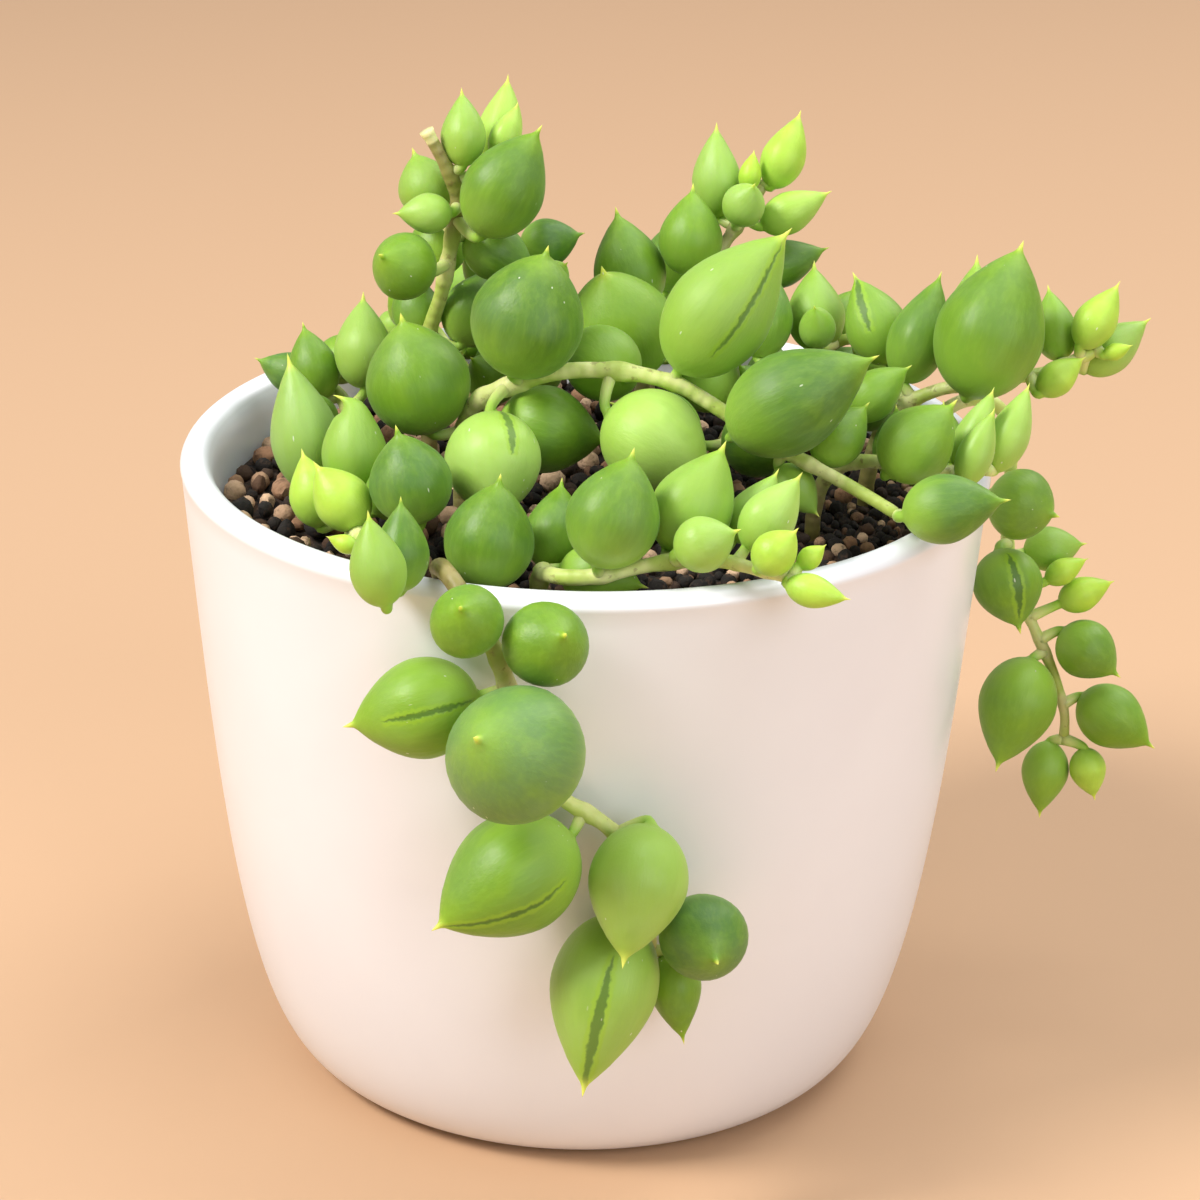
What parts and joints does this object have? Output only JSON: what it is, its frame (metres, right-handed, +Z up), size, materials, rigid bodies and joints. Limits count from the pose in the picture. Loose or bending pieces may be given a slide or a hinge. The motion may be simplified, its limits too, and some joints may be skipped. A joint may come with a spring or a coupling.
{
  "type": "potted string of tears",
  "caption": "Trailing succulent with plump pointed leaves on thin stems, growing in coarse soil in a plain white ceramic pot with rounded foot and rim",
  "frame": {"origin": "centre of the flat underside of the pot, on the surface that the pot stands on", "axes": "+Z up; +X to the right and +Y away for someone who looks at the side where the long leafy stem hangs in front"},
  "size_m": [0.1118, 0.1184, 0.1104],
  "materials": {
    "white_glaze": "satin",
    "granular_soil": "matte",
    "succulent_green": "satin"
  },
  "bodies": {
    "root": {"pot": "white_glaze", "soil": "granular_soil", "strand_upright_left": "succulent_green", "strand_upright_centre": "succulent_green", "strand_arching": "succulent_green", "strand_middle": "succulent_green", "strand_right_low": "succulent_green", "strand_right": "succulent_green", "strand_front": "succulent_green", "strand_left": "succulent_green", "strand_left_back": "succulent_green", "strand_trailing_front": "succulent_green", "strand_trailing_right": "succulent_green", "strand_back_left": "succulent_green", "strand_back_right": "succulent_green", "strand_back_low": "succulent_green", "strand_trailing_back": "succulent_green"}
  },
  "joints": []
}
